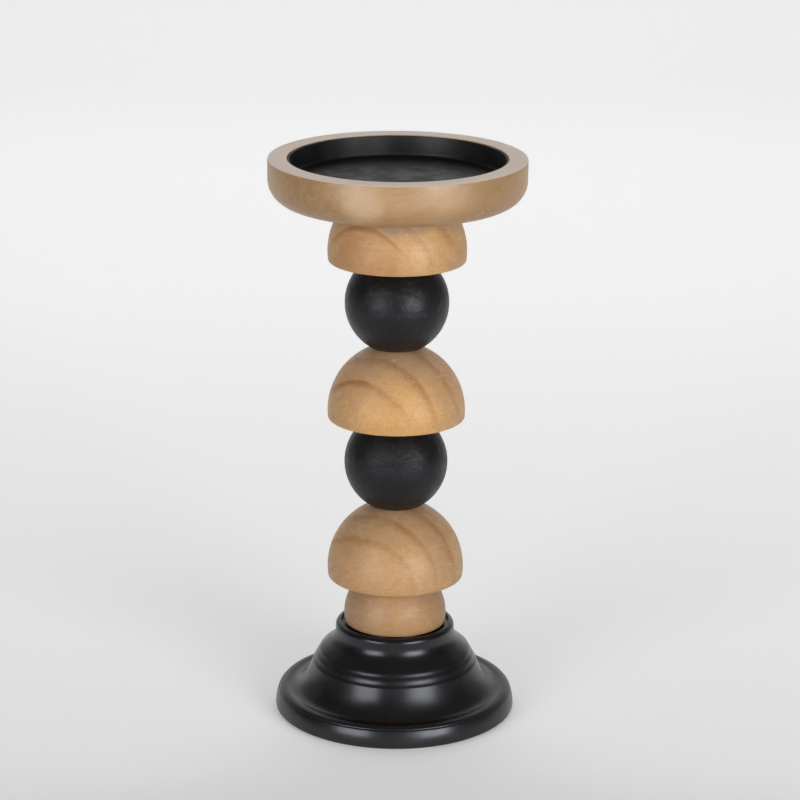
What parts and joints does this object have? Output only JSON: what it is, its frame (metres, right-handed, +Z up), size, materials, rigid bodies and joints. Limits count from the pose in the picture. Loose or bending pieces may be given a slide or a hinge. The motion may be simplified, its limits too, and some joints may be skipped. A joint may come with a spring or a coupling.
{
  "type": "candle holder",
  "caption": "Turned wooden pillar-candle holder: a stem of natural half-domes and black balls on a stepped black base, under a round dish with a lift-out metal pan.",
  "frame": {"origin": "on the table under the middle of the foot", "axes": "+Z up along the axis that every piece is turned about; +X to the right and +Y to the back as pictured"},
  "size_m": [0.1248, 0.1248, 0.2815],
  "materials": {
    "natural_wood": "clear satin oil on a light honey-coloured wood",
    "limed_wood": "grey-beige limed wash under a satin coat",
    "black_stained_wood": "black stain with a satin coat",
    "black_lacquer": "smooth satin black lacquer",
    "black_enamel": "satin black enamel on pressed steel",
    "zinc_steel": "bright zinc plating",
    "felt": "pressed grey felt"
  },
  "bodies": {
    "holder": {"felt_ring": "felt", "base": "black_lacquer", "neck_half_dome": "natural_wood", "lower_half_dome": "natural_wood", "lower_ball": "black_stained_wood", "middle_half_dome": "natural_wood", "upper_ball": "black_stained_wood", "upper_half_dome": "natural_wood", "candle_dish": "limed_wood", "dish_washer": "zinc_steel", "dish_nut": "zinc_steel", "tie_rod": "zinc_steel", "foot_washer": "zinc_steel", "foot_lock_washer": "zinc_steel", "foot_nut": "zinc_steel"},
    "pan": {"drip_pan": "black_enamel"}
  },
  "joints": [
    {"name": "pan_lift", "type": "slide", "parent": "holder", "child": "pan", "axis": [0, 0, 1], "range_m": [0, 0.03]}
  ]
}
